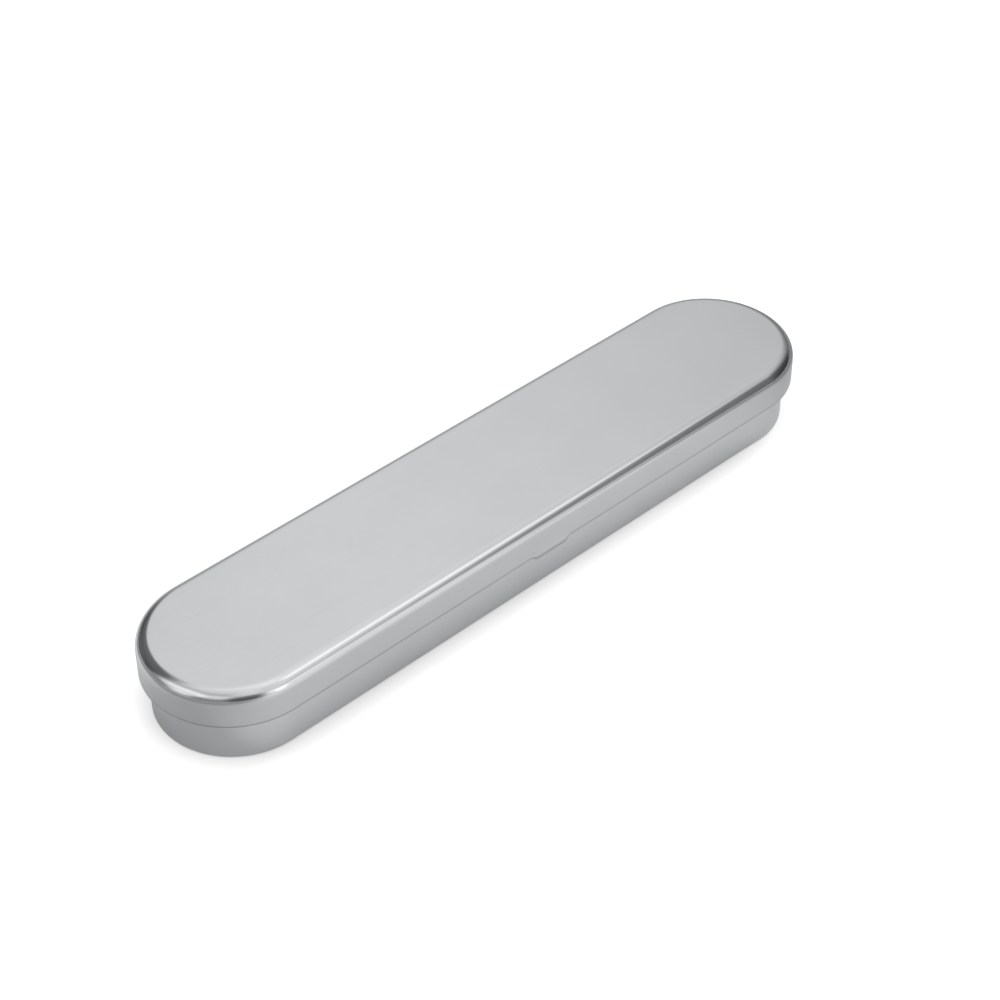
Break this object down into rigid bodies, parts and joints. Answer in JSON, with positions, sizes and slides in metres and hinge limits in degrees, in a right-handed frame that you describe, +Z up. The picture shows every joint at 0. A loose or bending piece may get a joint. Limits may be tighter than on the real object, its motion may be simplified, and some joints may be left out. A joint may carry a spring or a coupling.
{
  "type": "hinged pencil tin",
  "caption": "Slim hinged metal tin with half-round ends, an overhanging lid with a finger lip, and loose coloured pencils in layers inside.",
  "frame": {"origin": "middle of the flat floor that the tin stands on", "axes": "+X along the tin, +Y to the hinge side, so the finger lip is at -Y, +Z up to the lid"},
  "size_m": [0.19, 0.0414, 0.0202],
  "materials": {
    "base_tinplate": "satin, rolled",
    "lid_tinplate": "satin, rolled",
    "hinge_wire": "drawn wire",
    "lacquer_red": "gloss lacquer, bare wood at the point",
    "lacquer_orange": "gloss lacquer, bare wood at the point",
    "lacquer_yellow": "gloss lacquer, bare wood at the point",
    "lacquer_green": "gloss lacquer, bare wood at the point",
    "lacquer_blue": "gloss lacquer, bare wood at the point",
    "lacquer_violet": "gloss lacquer, bare wood at the point",
    "lead_red": "waxy, matte",
    "lead_orange": "waxy, matte",
    "lead_yellow": "waxy, matte",
    "lead_green": "waxy, matte",
    "lead_blue": "waxy, matte",
    "lead_violet": "waxy, matte"
  },
  "bodies": {
    "base": {"base_shell": "base_tinplate", "hinge_pin_left": "hinge_wire", "hinge_pin_right": "hinge_wire", "pencil_red_barrel": "lacquer_red", "pencil_orange_barrel": "lacquer_orange", "pencil_yellow_barrel": "lacquer_yellow", "pencil_green_barrel": "lacquer_green", "pencil_blue_barrel": "lacquer_blue", "pencil_violet_barrel": "lacquer_violet", "pencil_red_lead": "lead_red", "pencil_orange_lead": "lead_orange", "pencil_yellow_lead": "lead_yellow", "pencil_green_lead": "lead_green", "pencil_blue_lead": "lead_blue", "pencil_violet_lead": "lead_violet"},
    "lid": {"lid_shell": "lid_tinplate"}
  },
  "joints": [
    {"name": "lid_hinge", "type": "hinge", "parent": "base", "child": "lid", "pos_m": [0, 0.0197, 0.0115], "axis": [-1, 0, 0], "range_deg": [0, 175]}
  ]
}
